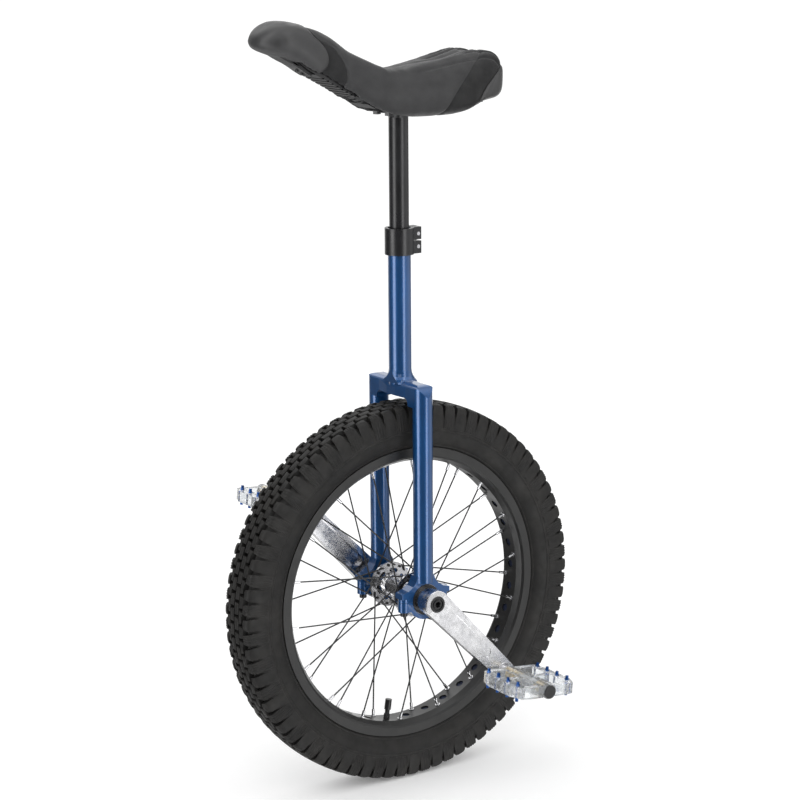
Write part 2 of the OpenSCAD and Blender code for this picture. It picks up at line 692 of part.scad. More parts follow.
module hub() {
    color(silver) difference() {
        union() {
            axle(14, -36, 36);
            for (s = [-1, 1]) {
                axle(flange_r, s * flange_y - 1.5, s * flange_y + 1.5);
                translate([0, s * (flange_y - 8), hz]) rotate([s * -90, 0, 0])
                    cylinder(r1 = 14.05, r2 = 18, h = 8);
            }
        }
        axle(spindle_r + 0.02, -40, 40);
        for (s = [-1, 1]) {
            for (j = [0 : spoke_count / 2 - 1]) {
                a = spoke_a(s > 0 ? 0 : 1) + j * 2 * hole_step;
                translate(rim_point(a, spoke_hub_r, s * flange_y - 4)) rotate([-90, 0, 0])
                    cylinder(r = 1.25, h = 8, $fn = 24);
            }
            // six oval windows in each flange
            for (j = [0 : 5]) translate([0, s * flange_y, hz]) rotate([0, j * 60 + 15, 0]) oval_window();
        }
    }
}

module oval_window() {
    for (a = [-11, 11]) rotate([0, a, 0]) translate([19.6, -12, 0]) rotate([-90, 0, 0])
        cylinder(r = 3, h = 24, $fn = 32);
    translate([16.3, -12, -3.6]) cube([6, 24, 7.2]);
}

// ten rounded splines
module spline(r, y0, y1) {
    translate([0, y0, hz]) rotate([-90, 0, 0]) linear_extrude(height = y1 - y0) union() {
        circle(r = r - 1.2);
        for (i = [0 : 9]) rotate(i * 36) translate([r - 1.5, 0]) circle(r = 1.5, $fn = 24);
    }
}

module spindle() {
    e = bearing_y + 6.4;
    color(steel) difference() {
        union() {
            axle(spindle_r, -e, e);
            spline(spindle_r - 0.4, e - 1, crank_y - 7);
            spline(spindle_r - 0.4, 7 - crank_y, 1 - e);
        }
        axle(5.5, -crank_y, crank_y);
    }
}

module hub_spacers() {
    e = bearing_y;
    color(black) {
        ring_y(14, spindle_r + 0.05, 36.2, e - 6.2);
        ring_y(14, spindle_r + 0.05, 6.2 - e, -36.2);
        // wide dust rings beside the cranks
        ring_y(20.6, spindle_r + 0.05, e + 6.2, e + 8.8);
        ring_y(20.6, spindle_r + 0.05, -e - 8.8, -e - 6.2);
    }
}

// crank arm in its own plane: spindle at the origin, pedal end along +X, outer face at z = 0
module arm_outline(g) {
    r0 = 18 - g;
    r1 = 13.5 - g;
    b = acos((r0 - r1) / crank_len) + 0.6;
    circle(r = r0, $fn = 96);
    translate([crank_len, 0]) circle(r = r1, $fn = 72);
    polygon([[r0 * cos(b), r0 * sin(b)], [crank_len + r1 * cos(b), r1 * sin(b)],
        [crank_len + r1 * cos(b), -r1 * sin(b)], [r0 * cos(b), -r0 * sin(b)]]);
}

// s is the side, the arm points the way the angle says
module place_crank(s) {
    translate([0, 0, hz]) rotate([0, s > 0 ? 180 - crank_a : -crank_a, 0])
        rotate([-90 * s, 0, 0]) children();
}

// the leaning frame of the arm, from its outer face inwards
module leaning(s, z) {
    place_crank(s) translate([0, 0, crank_y]) rotate([0, -atan(crank_flare / crank_len), 0])
        translate([0, 0, z]) children();
}

// long panel with round ends, half width r, from x = 34 to x1
module panel(x1, r, h) {
    linear_extrude(height = h) union() {
        translate([34, -r]) square([x1 - 34, 2 * r]);
        for (x = [34, x1]) translate([x, 0]) circle(r = r, $fn = 48);
    }
}

module crank(s) {
    color(silver) difference() {
        union() {
            difference() {
                leaning(s, -13) linear_extrude(height = 13) arm_outline(0);
                // shallow panel on the outer face, deep pocket on the inner face
                leaning(s, -1) panel(106, 8, 3);
                leaning(s, -15) panel(116, 9, 8);
            }
            place_crank(s) translate([0, 0, bearing_y + 9])
                cylinder(r = 17.2, h = crank_y - bearing_y - 9, $fn = 96);
            place_crank(s) translate([crank_len, 0, tip_y - 13]) cylinder(r = 12.8, h = 13, $fn = 72);
        }
        spline(spindle_r - 0.37, s > 0 ? 0 : -crank_y + 6.95, s > 0 ? crank_y - 6.95 : 0);
        place_crank(s) cylinder(r = 7.6, h = 120, $fn = 48);
        place_crank(s) translate([0, 0, crank_y - 5.5]) cylinder(r = 11.1, h = 20, $fn = 48);
        place_crank(s) translate([crank_len, 0, 60]) cylinder(r = 7.17, h = 60, $fn = 48);
        place_crank(s) translate([crank_len, 0, tip_y]) cylinder(r = 15, h = 9, $fn = 48);
    }
}

module crank_bolts() {
    color(black) for (s = [-1, 1]) place_crank(s) difference() {
        union() {
            translate([0, 0, crank_y - 5.45]) cylinder(r = 10.9, h = 6.4, $fn = 48);
            translate([0, 0, crank_y - 26]) cylinder(r = 5.4, h = 21, $fn = 32);
        }
        translate([0, 0, crank_y - 1.2]) difference() {
            cylinder(r = 8.2, h = 4, $fn = 48);
            translate([0, 0, -1]) cylinder(r = 6.2, h = 4.6, $fn = 48);
        }
        translate([0, 0, crank_y - 6]) cylinder(r = 4.6, h = 12, $fn = 6);
    }
}

// ---------------------------------------------------------------- pedals

module at_pedal(s, tilt) {
    translate([-s * pedal_x, 0, hz - s * pedal_z]) rotate([0, -tilt, 0])
        mirror([0, s < 0 ? 1 : 0, 0]) children();
}

module y_rod(r, y0, y1) {
    translate([0, y0, 0]) rotate([-90, 0, 0]) cylinder(r = r, h = y1 - y0);
}

module pedal_axle(s) {
    color(steel) at_pedal(s, 0) union() {
        y_rod(7.1, tip_y - 13, tip_y + 0.3);
        difference() {
            y_rod(9, tip_y + 0.2, tip_y + 4.4);
            for (k = [-1, 1]) translate([k * 12 - 4.5, tip_y + 0.1, -12]) cube([9, 5, 24]);
        }
        y_rod(6, tip_y + 4.3, pedal_out - 24);
        y_rod(4.5, pedal_out - 24.1, pedal_out - 7);
    }
}

module platform_outline() {
    polygon([[-42, pedal_in + 3], [-30, pedal_in], [30, pedal_in], [42, pedal_in + 3], [48, pedal_in + 22],
        [49, pedal_out - 22], [42, pedal_out - 5], [30, pedal_out - 2], [-30, pedal_out - 2],
        [-42, pedal_out - 5], [-49, pedal_out - 22], [-48, pedal_in + 22]]);
}

module pedal(s) {
    color(clear) at_pedal(s, pedal_tilt) difference() {
        union() {
            difference() {
                translate([0, 0, -7.5]) linear_extrude(height = 15) platform_outline();
                for (k = [-1, 1]) {
                    translate([k > 0 ? 12 : -33, pedal_in + 10, -10]) cube([21, 30, 20]);
                    translate([k > 0 ? 12 : -33, pedal_in + 48, -10]) cube([21, 33, 20]);
                }
            }
            y_rod(10, pedal_in + 0.2, pedal_out - 0.6);
        }
        y_rod(8.5, pedal_in - 1, pedal_out + 2);
        pin_places() cylinder(r = 2.15, h = 30, center = true, $fn = 16);
    }
}

// four pins along the front edge and four along the back
module pin_places() {
    for (x = [-40.5, 40.5], i = [0 : 3]) translate([x, pedal_in + 11 + i * 21.7, 0]) children();
}

module pins(s) {
    color([0.1, 0.3, 0.6]) at_pedal(s, pedal_tilt) pin_places() for (k = [0, 1]) mirror([0, 0, k]) {
        translate([0, 0, 1]) cylinder(r = 2.1, h = 12.4, $fn = 16);
        translate([0, 0, 7.55]) cylinder(r = 3.1, h = 1.8, $fn = 6);
    }
}

module bushes(s) {
    color([0.7, 0.6, 0.35]) at_pedal(s, pedal_tilt) {
        difference() {
            y_rod(8.48, pedal_in + 1, pedal_in + 26);
            y_rod(6.05, pedal_in, pedal_in + 27);
        }
        difference() {
            y_rod(8.48, pedal_out - 23.8, pedal_out - 9);
            y_rod(4.55, pedal_out - 26, pedal_out - 6);
        }
    }
}

module end_cap(s) {
    color(black) at_pedal(s, pedal_tilt) union() {
        y_rod(8.4, pedal_out - 5, pedal_out - 0.4);
        y_rod(8.9, pedal_out - 0.5, pedal_out + 1.6);
    }
}

frame();
bearing_cap(1);  // bearing_cap_left
bearing_cap(-1);  // bearing_cap_right
cap_bolts();
bearing_outer(1);  // bearing_outer_left
bearing_outer(-1);  // bearing_outer_right
bearing_seals(1);  // bearing_seals_left
bearing_seals(-1);  // bearing_seals_right
seat_clamp();
clamp_bolts();
seatpost();
saddle_base();
saddle_bolts();
saddle_nuts();
saddle_foam();
cover_main();
cover_front_band();
cover_rear_band();
nose_bumper();
tail_bumper();
grab_handle();
handle_screws();
tyre();
inner_tube();
rim();
rim_strip();
eyelets();
nipples();
spokes(1);  // spokes_left
spokes(-1);  // spokes_right
hub();
spindle();
bearing_inner(1);  // bearing_inner_left
bearing_inner(-1);  // bearing_inner_right
hub_spacers();
crank(1);  // crank_left
crank(-1);  // crank_right
crank_bolts();
pedal_axle(1);  // pedal_axle_left
pedal_axle(-1);  // pedal_axle_right
valve_stem();
valve_cap();
balls(1);  // balls_left
balls(-1);  // balls_right
cage(1);  // cage_left
cage(-1);  // cage_right
pedal(1);  // pedal_left
pedal(-1);  // pedal_right
pins(1);  // pins_left
pins(-1);  // pins_right
bushes(1);  // bushes_left
bushes(-1);  // bushes_right
end_cap(1);  // end_cap_left
end_cap(-1);  // end_cap_right
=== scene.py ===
"""Trials unicycle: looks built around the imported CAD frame.

Metres, +X the rider's front, +Y the rider's left, +Z up.
"""

import json
import math

import bmesh
import bpy
import numpy as np
from mathutils import Matrix, Vector
from mathutils.kdtree import KDTree


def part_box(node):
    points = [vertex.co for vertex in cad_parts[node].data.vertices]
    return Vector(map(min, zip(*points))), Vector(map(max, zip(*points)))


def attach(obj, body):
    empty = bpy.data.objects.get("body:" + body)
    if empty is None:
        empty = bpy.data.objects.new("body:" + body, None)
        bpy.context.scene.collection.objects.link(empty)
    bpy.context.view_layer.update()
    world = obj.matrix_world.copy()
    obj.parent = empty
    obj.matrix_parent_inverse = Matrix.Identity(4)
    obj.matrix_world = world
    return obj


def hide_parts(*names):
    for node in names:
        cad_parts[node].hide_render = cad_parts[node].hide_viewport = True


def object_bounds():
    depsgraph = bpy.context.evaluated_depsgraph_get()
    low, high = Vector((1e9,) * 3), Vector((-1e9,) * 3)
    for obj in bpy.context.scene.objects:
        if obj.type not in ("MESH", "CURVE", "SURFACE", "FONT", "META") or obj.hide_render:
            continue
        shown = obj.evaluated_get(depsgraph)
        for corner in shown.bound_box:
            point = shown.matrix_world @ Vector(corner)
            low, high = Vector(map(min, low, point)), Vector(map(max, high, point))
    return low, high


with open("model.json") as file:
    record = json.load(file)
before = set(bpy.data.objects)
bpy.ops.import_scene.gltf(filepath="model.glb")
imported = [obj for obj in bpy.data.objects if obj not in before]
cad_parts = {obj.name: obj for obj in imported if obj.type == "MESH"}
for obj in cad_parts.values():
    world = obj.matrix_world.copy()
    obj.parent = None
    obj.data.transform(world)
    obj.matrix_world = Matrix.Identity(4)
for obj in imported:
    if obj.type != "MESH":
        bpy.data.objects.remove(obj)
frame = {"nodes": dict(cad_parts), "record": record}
cad_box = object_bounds()
NODES = frame["nodes"]
SLOT_OF = {part["node"]: part["material_slot"] for part in frame["record"]["subparts"]}
MM = 0.001

# ------------------------------------------------------------------------------------------- materials


class Finish:
    """A procedural material. Its pattern follows the object's own coordinates, so it moves with the piece."""

    def __init__(self, name, rough, metal=0.0):
        self.mat = bpy.data.materials.new(name)
        self.mat.use_nodes = True
        self.tree = self.mat.node_tree
        self.bsdf = self.tree.nodes["Principled BSDF"]
        self.coord = self.add("ShaderNodeTexCoord").outputs["Object"]
        self.height = None
        self.set(Roughness=rough, Metallic=metal)

    def add(self, kind, **settings):
        node = self.tree.nodes.new(kind)
        for key, value in settings.items():
            setattr(node, key, value)
        return node

    def join(self, value, socket):
        if isinstance(value, bpy.types.NodeSocket):
            self.tree.links.new(value, socket)
        else:
            socket.default_value = value

    def set(self, **inputs):
        for key, value in inputs.items():
            self.join(value, self.bsdf.inputs[key.replace("_", " ")])

    def stretched(self, scale):
        node = self.add("ShaderNodeMapping")
        node.inputs["Scale"].default_value = scale if isinstance(scale, tuple) else (scale,) * 3
        self.join(self.coord, node.inputs["Vector"])
        return node.outputs["Vector"]

    def noise(self, scale, detail=4.0, roughness=0.55):
        node = self.add("ShaderNodeTexNoise")
        node.inputs["Scale"].default_value = 1.0
        node.inputs["Detail"].default_value = detail
        node.inputs["Roughness"].default_value = roughness
        self.join(self.stretched(scale), node.inputs["Vector"])
        return node.outputs["Fac"]

    def cells(self, scale, feature="F1"):
        node = self.add("ShaderNodeTexVoronoi", feature=feature)
        node.inputs["Scale"].default_value = 1.0
        self.join(self.stretched(scale), node.inputs["Vector"])
        return node.outputs["Distance"]

    def waves(self, scale, axis="X", distortion=0.0):
        node = self.add("ShaderNodeTexWave", bands_direction=axis)
        node.inputs["Scale"].default_value = 1.0
        node.inputs["Distortion"].default_value = distortion
        self.join(self.stretched(scale), node.inputs["Vector"])
        return node.outputs["Fac"]

    def spread(self, value, low, high, start=0.3, end=0.7):
        node = self.add("ShaderNodeMapRange")
        for key, number in zip(("From Min", "From Max", "To Min", "To Max"), (start, end, low, high)):
            self.join(number, node.inputs[key])
        self.join(value, node.inputs["Value"])
        return node.outputs["Result"]

    def mix(self, factor, a, b):
        node = self.add("ShaderNodeMix", data_type="RGBA")
        self.join(factor, node.inputs[0])
        for value, socket in ((a, node.inputs[6]), (b, node.inputs[7])):
            self.join((*value, 1.0) if isinstance(value, tuple) else value, socket)
        return node.outputs[2]

    def math(self, operation, a, b=0.0):
        node = self.add("ShaderNodeMath", operation=operation)
        self.join(a, node.inputs[0])
        self.join(b, node.inputs[1])
        return node.outputs[0]

    def bump(self, value, depth, strength=1.0):
        node = self.add("ShaderNodeBump")
        node.inputs["Strength"].default_value = strength
        node.inputs["Distance"].default_value = depth
        self.join(value, node.inputs["Height"])
        if self.height is not None:
            self.join(self.height, node.inputs["Normal"])
        self.height = node.outputs["Normal"]
        self.join(self.height, self.bsdf.inputs["Normal"])

    def worn_edges(self, radius=0.6 * MM):
        """0 on flat faces, rising towards 1 on convex edges."""
        bevel = self.add("ShaderNodeBevel", samples=4)
        bevel.inputs["Radius"].default_value = radius
        dot = self.add("ShaderNodeVectorMath", operation="DOT_PRODUCT")
        self.join(bevel.outputs["Normal"], dot.inputs[0])
        self.join(self.add("ShaderNodeNewGeometry").outputs["Normal"], dot.inputs[1])
        return self.spread(dot.outputs["Value"], 1.0, 0.0, 0.82, 0.995)


def metal(name, light, dark, rough, brush=(60, 60, 60), grain=0.02 * MM, wear=None):
    """Bare or anodised metal with clouded tone, a brushed grain and, if wear is given, rubbed edges."""
    f = Finish(name, rough, 1.0)
    tone = f.mix(f.spread(f.noise(45), 0, 1), dark, light)
    if wear:
        tone = f.mix(f.math("MULTIPLY", f.worn_edges(), 0.6), tone, wear)
    streaks = f.noise(tuple(8 * b for b in brush), 3)
    f.set(Base_Color=tone, Roughness=f.spread(streaks, rough * 0.8, rough * 1.3))
    f.bump(f.noise(tuple(30 * b for b in brush), 2), grain, 0.4)
    return f


def coated(name, light, dark, rough, wear=None, grain=0.03 * MM, size=900):
    """Painted, moulded or rubbery surface: clouded tone, fine grain and, if wear is given, rubbed edges."""
    f = Finish(name, rough)
    tone = f.mix(f.spread(f.noise(30, 6), 0, 1), dark, light)
    if wear:
        rubbed = f.math("MULTIPLY", f.worn_edges(), f.spread(f.noise(260), 0.1, 0.75))
        tone = f.mix(rubbed, tone, wear)
    f.set(Base_Color=tone, Roughness=f.spread(f.noise(70, 5), rough * 0.85, rough * 1.2))
    f.bump(f.noise(size, 3), grain, 0.5)
    return f


def frame_paint():
    """Blue metallic paint under a clear coat, with fine flakes and a little orange peel."""
    f = Finish("frame_paint", 0.33, 0.5)
    flakes = f.spread(f.cells(2600), 0.0, 1.0, 0.1, 0.75)
    tone = f.mix(flakes, (0.001, 0.04, 0.15), (0.003, 0.085, 0.27))
    tone = f.mix(f.spread(f.noise(18, 5), 0.0, 0.35), tone, (0.001, 0.03, 0.11))
    tone = f.mix(f.math("MULTIPLY", f.worn_edges(), 0.25), tone, (0.12, 0.25, 0.5))
    f.set(Base_Color=tone, Roughness=f.spread(f.noise(400), 0.28, 0.4), Coat_Weight=1.0,
          Coat_Roughness=f.spread(f.noise(55, 6), 0.03, 0.09))
    f.bump(f.noise(260, 2), 0.03 * MM, 0.35)
    return f


def tyre_rubber():
    """Dusty rubber, paler on its rubbed edges."""
    f = Finish("tyre", 0.62)
    f.set(Specular_IOR_Level=0.28)
    dust = f.spread(f.noise(28, 8, 0.65), 0.0, 0.6, 0.42, 0.75)
    tone = f.mix(dust, (0.0102, 0.0098, 0.0094), (0.027, 0.025, 0.0225))
    rubbed = f.math("MULTIPLY", f.worn_edges(0.8 * MM), f.spread(f.noise(150), 0.1, 0.7))
    tone = f.mix(rubbed, tone, (0.05, 0.048, 0.045))
    f.set(Base_Color=tone, Roughness=f.spread(f.noise(90, 5), 0.5, 0.72))
    f.bump(f.noise(1500, 4), 0.06 * MM, 0.5)
    f.bump(f.cells(500), 0.05 * MM, 0.3)
    return f


def panel_fabric(name, light, dark, knit, depth, sheen):
    """Close-knit stretch cloth: two crossed wave patterns for the knit, whose raised ridges are also painted
    lighter as a painted highlight, a soft sheen, and scuffing.
    """
    f = Finish(name, 0.62)
    across = f.waves((knit, knit, knit), "X", 1.5)
    along = f.waves((knit, knit, knit), "Z", 1.5)
    weave = f.math("MULTIPLY", across, along)
    tone = f.mix(f.spread(f.noise(22, 7, 0.6), 0.0, 1.0), dark, light)
    # lighter where the knit stands up in the bump: painted highlight on the knit's ridges
    tone = f.mix(f.spread(weave, 0.0, 0.22, 0.1, 0.9), tone, tuple(2.2 * c for c in light))
    f.set(Base_Color=tone, Roughness=f.spread(f.noise(60, 5), 0.5, 0.74), Sheen_Weight=sheen,
          Sheen_Roughness=0.35, Specular_IOR_Level=0.35)
    f.bump(weave, depth, 0.7)
    f.bump(f.noise(140, 4), 0.12 * MM, 0.4)
    return f


def clear_plastic():
    """Slightly hazy clear moulding."""
    f = Finish("clear", 0.12)
    haze = f.spread(f.noise(120, 6), 0.12, 0.32)
    tone = f.mix(f.spread(f.noise(60), 0.0, 1.0), (0.9, 0.93, 0.95), (0.98, 0.99, 1.0))
    f.set(Base_Color=tone, Roughness=haze, Transmission_Weight=0.9, IOR=1.46)
    f.bump(f.noise(700, 3), 0.05 * MM, 0.4)
    return f


def foam():
    """Open-cell foam, with painted shade darkening the pits of its pores."""
    f = Finish("foam", 0.9)
    pores = f.cells(900)
    # darker in the pits of the pores: painted shade
    f.set(Base_Color=f.mix(f.spread(pores, 0, 1), (0.06, 0.06, 0.065), (0.14, 0.14, 0.145)))
    f.bump(pores, 0.3 * MM)
    return f


FINISHES = {
    "frame_paint": frame_paint(),
    "black_metal": coated("black_metal", (0.013, 0.013, 0.015), (0.007, 0.007, 0.008), 0.3,
                          (0.07, 0.07, 0.075)),
    "steel": metal("steel", (0.66, 0.66, 0.68), (0.5, 0.5, 0.52), 0.26),
    "polished": metal("polished", (0.72, 0.72, 0.73), (0.58, 0.58, 0.6), 0.22, (20, 90, 20), 0.01 * MM,
                      (0.95, 0.95, 0.95)),
    "black_steel": coated("black_steel", (0.014, 0.014, 0.015), (0.008, 0.008, 0.009), 0.28,
                          (0.12, 0.12, 0.12)),
    "rubber": coated("rubber", (0.016, 0.016, 0.017), (0.01, 0.01, 0.011), 0.7, size=1400,
                     grain=0.06 * MM),
    "tyre": tyre_rubber(),
    "rim_black": coated("rim_black", (0.015, 0.0148, 0.0145), (0.01, 0.01, 0.01), 0.33,
                        (0.08, 0.078, 0.075)),
    "strip": coated("strip", (0.006, 0.014, 0.045), (0.004, 0.009, 0.03), 0.6, size=2200, grain=0.08 * MM),
    "cover": panel_fabric("cover", (0.033, 0.033, 0.034), (0.023, 0.023, 0.024), 850, 0.05 * MM, 0.1),
    "band": panel_fabric("band", (0.0085, 0.0085, 0.009), (0.0055, 0.0055, 0.006), 600, 0.09 * MM,
                         0.05),
    "bumper": coated("bumper", (0.036, 0.036, 0.037), (0.026, 0.026, 0.027), 0.46, (0.08, 0.08, 0.08),
                     size=1300, grain=0.08 * MM),
    "foam": foam(),
    "plastic_black": coated("plastic_black", (0.014, 0.014, 0.015), (0.008, 0.008, 0.009), 0.34,
                            (0.07, 0.07, 0.07), size=1600, grain=0.05 * MM),
    "clear": clear_plastic(),
    "pin_blue": metal("pin_blue", (0.02, 0.09, 0.32), (0.01, 0.055, 0.22), 0.3, wear=(0.25, 0.35, 0.5)),
    "brass": metal("brass", (0.75, 0.57, 0.26), (0.58, 0.42, 0.17), 0.3),
}


def coat_with(obj, slot):
    obj.data.materials.clear()
    obj.data.materials.append(FINISHES[slot].mat)


# ------------------------------------------------------------------------------------------- mesh helpers


def new_object(name, verts, faces):
    """A linked mesh object whose faces all look outwards."""
    mesh = bpy.data.meshes.new(name)
    mesh.from_pydata([tuple(v) for v in verts], [], faces)
    mesh.validate()
    bm = bmesh.new()
    bm.from_mesh(mesh)
    bmesh.ops.recalc_face_normals(bm, faces=bm.faces)
    bm.to_mesh(mesh)
    bm.free()
    obj = bpy.data.objects.new(name, mesh)
    bpy.context.scene.collection.objects.link(obj)
    return obj


def smooth(obj, angle):
    """Smooth shading, except over edges sharper than angle in degrees."""
    for p in obj.data.polygons:
        p.use_smooth = True
    obj.data.set_sharp_from_angle(angle=math.radians(angle))


def bake_modifiers(obj):
    """Replaces the object's mesh by its modified mesh."""
    shape = bpy.data.meshes.new_from_object(obj.evaluated_get(bpy.context.evaluated_depsgraph_get()))
    obj.modifiers.clear()
    obj.data = shape


def points_of(mesh):
    flat = np.empty(len(mesh.vertices) * 3)
    mesh.vertices.foreach_get("co", flat)
    return flat.reshape(-1, 3)


def put_points(mesh, points):
    mesh.vertices.foreach_set("co", points.ravel())
    mesh.update()


def normals_of(mesh):
    flat = np.empty(len(mesh.vertices) * 3)
    mesh.vertex_normals.foreach_get("vector", flat)
    return flat.reshape(-1, 3)


def finish_piece(obj, body, slot, *nodes):
    """Gives a piece its material and its body, and lets it stand for CAD nodes."""
    coat_with(obj, slot)
    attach(obj, body)
    if nodes:
        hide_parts(*nodes)


# ------------------------------------------------------------------------------------------- tyre

T_LOW, T_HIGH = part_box("tyre")
AXLE = Vector((0.0, 0.0, (T_LOW.z + T_HIGH.z) / 2))
TREAD_R = (T_HIGH.z - T_LOW.z) / 2
TYRE_W = T_HIGH.y
RIM_R = (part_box("rim")[1].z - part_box("rim")[0].z) / 2
ROWS = 80              # rows of tread blocks around the tyre
CASING = 7.4 * MM      # height of the tread over the casing
CASING_TURNS = 288     # sections of the casing around the tyre
SLIT = 2.6 * MM        # step cut into the outer end of every second side block


def around(radius, angle, y):
    """A point by radius and angle from straight down, towards the front."""
    return Vector((radius * math.sin(angle), y, AXLE.z - radius * math.cos(angle)))


def tyre_profile():
    """The casing's section as (radius, y): outside from bead to bead over the crown, then inside."""
    c, w = TREAD_R - CASING, TYRE_W - 0.9 * MM
    # bead as (above the rim, y), sidewall as (above the rim, from the widest), tread as (from the crown,
    # from the widest)
    bead = ((-7, 21.3), (0.6, 21.3), (1.3, 22.9), (3.2, 24.2), (4, 24.1), (4.8, 25), (8, 27), (12, 28.8),
            (16.5, 30))
    wall = ((21, -0.35), (23, 0), (23.5, 0.5), (24.6, 0.5), (25.1, 0.05), (30, 0), (38, -0.5))
    tread = ((-9, -1.6), (-6, -4), (-3.4, -7.5), (-1.6, -13), (-0.4, -20), (0, -27))
    half = ([(RIM_R + r * MM, y * MM) for r, y in bead] + [(RIM_R + r * MM, w + y * MM) for r, y in wall]
            + [(c + r * MM, w + y * MM) for r, y in tread])
    bead = ((-7, 17.5), (-1, 17.5), (4, 21), (12, 25))
    wall = ((20, -3.6), (29, -3.2), (37, -3.8))
    tread = ((-8, -8.5), (-5.2, -16))
    inner = ([(RIM_R + r * MM, y * MM) for r, y in bead] + [(RIM_R + r * MM, w + y * MM) for r, y in wall]
             + [(c + r * MM, w + y * MM) for r, y in tread] + [(c - 4 * MM, 0.0)])
    outside = half + [(r, -y) for r, y in reversed(half)]
    inside = [(r, -y) for r, y in inner] + [(r, y) for r, y in reversed(inner[:-1])]
    return outside + inside


def spun(profile, turns):
    """Vertices and faces of a closed section turned about the axle."""
    n = len(profile)
    verts = [around(r, 2 * math.pi * i / turns, y) for i in range(turns) for r, y in profile]
    faces = [(i * n + j, i * n + (j + 1) % n, (i + 1) % turns * n + (j + 1) % n, (i + 1) % turns * n + j)
             for i in range(turns) for j in range(n)]
    return verts, faces


def crown_r(y):
    """Radius of the knob tops across the tread."""
    t = min(1.0, abs(y) / TYRE_W)
    return TREAD_R - (3.4 * t ** 2 + 6.4 * t ** 7) * MM


def block(verts, faces, outline, floor, centre, edge=0.7 * MM):
    """One rubber block: outline as (distance round the tyre, y) about an angle, with a bevelled top."""
    cu = sum(u for u, _ in outline) / len(outline)
    cy = sum(y for _, y in outline) / len(outline)
    size = max(max(abs(u - cu), abs(y - cy)) for u, y in outline)
    rings = ((-floor, 1.0 + 0.7 * MM / size), (-edge, 1.0), (-edge * 0.25, 1.0 - 0.3 * edge / size),
             (0.0, 1.0 - edge / size))
    first, n = len(verts), len(outline)
    for depth, scale in rings:
        for u, y in outline:
            uu, yy = cu + (u - cu) * scale, cy + (y - cy) * scale
            verts.append(around(crown_r(yy) + depth, centre + uu / TREAD_R, yy))
    for k in range(len(rings) - 1):
        a, b = first + k * n, first + (k + 1) * n
        faces += [(a + j, a + (j + 1) % n, b + (j + 1) % n, b + j) for j in range(n)]
    faces.append(tuple(first + 3 * n + j for j in range(n)))
    faces.append(tuple(first + n - 1 - j for j in range(n)))


def lug(verts, faces, side, centre, span, ribs):
    """Shoulder lug that wraps from the tread down the sidewall, with ribs fine grooves across it."""
    # outer and inner side of its section, as (below the tread, in from the widest)
    section = ((1.3, 11.5), (1.9, 7.4), (2.9, 4.6), (5.4, 2.7), (10.5, 1.6), (16.5, 0.8), (22.5, 0.15),
               (28, 0.05), (32.4, 0.1))
    inner = ((12, 11.5), (13, 9.6), (15, 7.2), (17, 6), (19, 4.9), (22, 4), (25, 3.4), (29, 3.2), (33.4, 3.2))
    section, inner = ([(TREAD_R - r * MM, TYRE_W - y * MM) for r, y in rows] for rows in (section, inner))
    steps = max(4, ribs * 4)
    half = span / TREAD_R / 2
    first = len(verts)
    n = len(section)
    for i in range(steps + 1):
        t = i / steps
        shut = 0.8 * MM if i in (0, steps) else 0.0
        if ribs and i % 4 >= 2 and 0 < i < steps:
            shut = 0.75 * MM
        for j, ((r, y), (ri, yi)) in enumerate(zip(section, inner)):
            d = Vector((r - ri, y - yi)).normalized() * (shut if j or i in (0, steps) else 0)
            spread = half * (2 * t - 1) * (0.74 + 0.26 * min(1.0, j / 4))
            verts.append(around(r - d.x, centre + spread, side * (y - d.y)))
        for j, (r, y) in enumerate(inner):
            spread = half * (2 * t - 1) * (0.78 + 0.26 * min(1.0, j / 4))
            verts.append(around(r, centre + spread, side * y))
    m = 2 * n
    for i in range(steps):
        a, b = first + i * m, first + (i + 1) * m
        for j in range(n - 1):
            faces.append((a + j, a + j + 1, b + j + 1, b + j))
            faces.append((a + n + j, b + n + j, b + n + j + 1, a + n + j + 1))
        faces.append((a, b, b + n, a + n))
        faces.append((a + n - 1, a + m - 1, b + m - 1, b + n - 1))
    for base in (first, first + steps * m):
        for j in range(n - 1):
            faces.append((base + j, base + n + j, base + n + j + 1, base + j + 1))


def build_tyre():
    verts, faces = spun(tyre_profile(), CASING_TURNS)
    step = 2 * math.pi / ROWS
    pitch = step * TREAD_R
    floor = CASING + 1.6 * MM
    for i in range(ROWS):
        for side in (-1, 1):
            centre = (i + (0.0 if side > 0 else 0.5)) * step
            long = i % 2 == 0
            # centre block
            u = pitch * (0.42 if long else 0.39)
            y0, y1 = 1.2 * MM, 9.9 * MM
            outline = [(-u, y0), (u, y0), (u * 0.86, y1), (-u * 0.95, y1)]
            block(verts, faces, [(along, side * y) for along, y in outline], floor, centre)
            # block beside it, half a row on, with a step in its outer end on every second row
            shift = pitch * 0.5
            u = pitch * (0.44 if long else 0.4)
            y0, y1 = 11 * MM, 19 * MM
            cut_y = y1 - (SLIT if long else 0)
            outline = [(shift - u, y0), (shift + u, y0), (shift + u * 0.8, y1), (shift + u * 0.1, cut_y),
                       (shift - u * 0.9, cut_y)]
            block(verts, faces, [(along, side * y) for along, y in outline], floor, centre)
            lug(verts, faces, side, centre + step * 0.08, pitch * 0.82, 0 if long else 4)
    tyre = new_object("tyre_tread", verts, faces)
    smooth(tyre, 40)
    return tyre


tyre = build_tyre()
finish_piece(tyre, "wheel", "tyre", "tyre")

# ------------------------------------------------------------------------------------------- saddle

SADDLE = ("cover_main", "cover_front_band", "cover_rear_band", "nose_bumper", "tail_bumper", "saddle_foam")
SADDLE_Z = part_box("saddle_base")[0].z - 10.1 * MM
